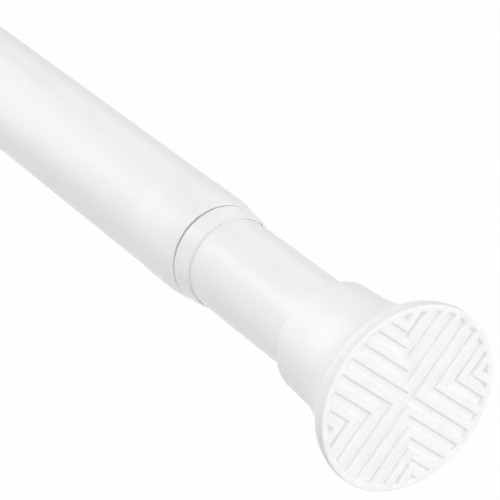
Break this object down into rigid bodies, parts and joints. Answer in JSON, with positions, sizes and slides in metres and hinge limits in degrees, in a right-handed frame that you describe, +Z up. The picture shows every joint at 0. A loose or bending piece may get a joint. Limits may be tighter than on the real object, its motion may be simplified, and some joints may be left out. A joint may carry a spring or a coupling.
{
  "type": "spring tension rod",
  "caption": "White telescoping curtain rod held between two walls by an inner spring and screw, with a trumpet-shaped bell and a round ribbed rubber pad at each end.",
  "frame": {"origin": "centre of the far pad's wall face, which is pressed against the wall", "axes": "+X along the rod from that wall to the near pad's wall, +Z up"},
  "size_m": [0.426, 0.0426, 0.0426],
  "materials": {
    "tube_enamel": "semi-gloss white enamel on steel tube",
    "cap_plastic": "satin white moulded plastic",
    "collar_plastic": "smooth white moulded plastic",
    "pad_rubber": "matt white soft rubber with a ribbed face",
    "zinc_steel": "bright zinc plate",
    "screw_acetal": "black moulded acetal",
    "spring_steel": "oil-tempered spring wire",
    "inner_nylon": "natural nylon"
  },
  "bodies": {
    "outer_tube": {"outer_pad": "pad_rubber", "outer_bell": "cap_plastic", "outer_cap_screw": "zinc_steel", "outer_end_plug": "inner_nylon", "outer_tube": "tube_enamel", "mouth_collar": "collar_plastic", "compression_spring": "spring_steel"},
    "screw_carriage": {"spring_washer": "zinc_steel", "spring_seat": "inner_nylon", "seat_pin": "zinc_steel", "lead_screw": "screw_acetal", "stop_washer": "zinc_steel", "stop_screw": "zinc_steel"},
    "guide_ring": {"guide_ring": "inner_nylon"},
    "inner_tube": {"screw_nut": "inner_nylon", "inner_tube": "tube_enamel", "inner_end_plug": "inner_nylon", "inner_bell": "cap_plastic", "inner_cap_screw": "zinc_steel", "inner_pad": "pad_rubber"}
  },
  "joints": [
    {"name": "spring_compress", "type": "slide", "parent": "outer_tube", "child": "screw_carriage", "axis": [1, 0, 0], "range_m": [-0.016, 0], "stiffness_N_per_m": 4000, "springref_m": 0.005, "deforming": ["compression_spring"]},
    {"name": "extend", "type": "slide", "parent": "screw_carriage", "child": "guide_ring", "axis": [1, 0, 0], "range_m": [-0.02, 0.18]},
    {"name": "twist", "type": "hinge", "parent": "guide_ring", "child": "inner_tube", "pos_m": [0.1059, 0, 0], "axis": [1, 0, 0], "range_deg": [-725, 6485]}
  ],
  "couplings": [
    {"joint": "twist", "follows": "extend", "rad_per_m": 628.32}
  ]
}
